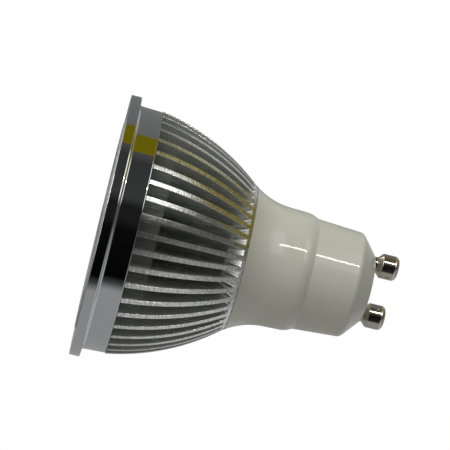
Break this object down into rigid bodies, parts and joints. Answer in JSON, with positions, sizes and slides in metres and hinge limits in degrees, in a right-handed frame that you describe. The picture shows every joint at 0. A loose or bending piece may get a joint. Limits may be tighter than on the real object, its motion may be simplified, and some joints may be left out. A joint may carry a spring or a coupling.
{
  "type": "spotlight bulb",
  "caption": "Spotlight lamp with a plated front ring, finned metal heat sink, white moulded base and twist-lock contact pins.",
  "frame": {"origin": "centre of the lamp's front face, the plane that it stands on", "axes": "+Z along the lamp's axis from the front face to the contact pins; +X from one contact pin towards the other"},
  "size_m": [0.05, 0.05, 0.0567],
  "materials": {
    "ring": "polished plating",
    "holder": "moulded, satin gloss",
    "seal": "matt",
    "lens": "clear moulded acrylic",
    "diode": "silicone dome on a ceramic base",
    "diode_board": "white solder mask on aluminium",
    "heat_pad": "matt",
    "heat_sink": "cast, fin tips turned",
    "housing": "moulded, glossy",
    "pin": "nickel plated",
    "screw": "zinc plated",
    "driver_board": "green solder mask",
    "core": "sintered ferrite",
    "coil": "yellow tape over copper wire",
    "capacitor": "printed sleeve, left blank",
    "chip": "moulded epoxy",
    "resistor": "lacquered",
    "wire_brown": "insulated wire",
    "wire_blue": "insulated wire",
    "wire_red": "insulated wire",
    "wire_black": "insulated wire"
  },
  "bodies": {
    "root": {"front_ring": "ring", "lens_holder": "holder", "holder_seal": "seal", "diode_board": "diode_board", "heat_pad": "heat_pad", "heat_sink": "heat_sink", "base_housing": "housing", "driver_board": "driver_board", "transformer_core": "core", "transformer_coil": "coil", "input_capacitor": "capacitor", "output_capacitor": "capacitor", "controller_chip": "chip", "bridge_rectifier": "chip", "fuse_resistor": "resistor", "input_wire_1": "wire_brown", "input_wire_2": "wire_blue", "output_wire_1": "wire_red", "output_wire_2": "wire_black", "contact_pin_1": "pin", "contact_pin_2": "pin", "housing_screw_1": "screw", "housing_screw_2": "screw", "lens_1": "lens", "diode_1": "diode", "board_screw_1": "screw", "lens_2": "lens", "diode_2": "diode", "board_screw_2": "screw", "lens_3": "lens", "diode_3": "diode", "board_screw_3": "screw"}
  },
  "joints": []
}
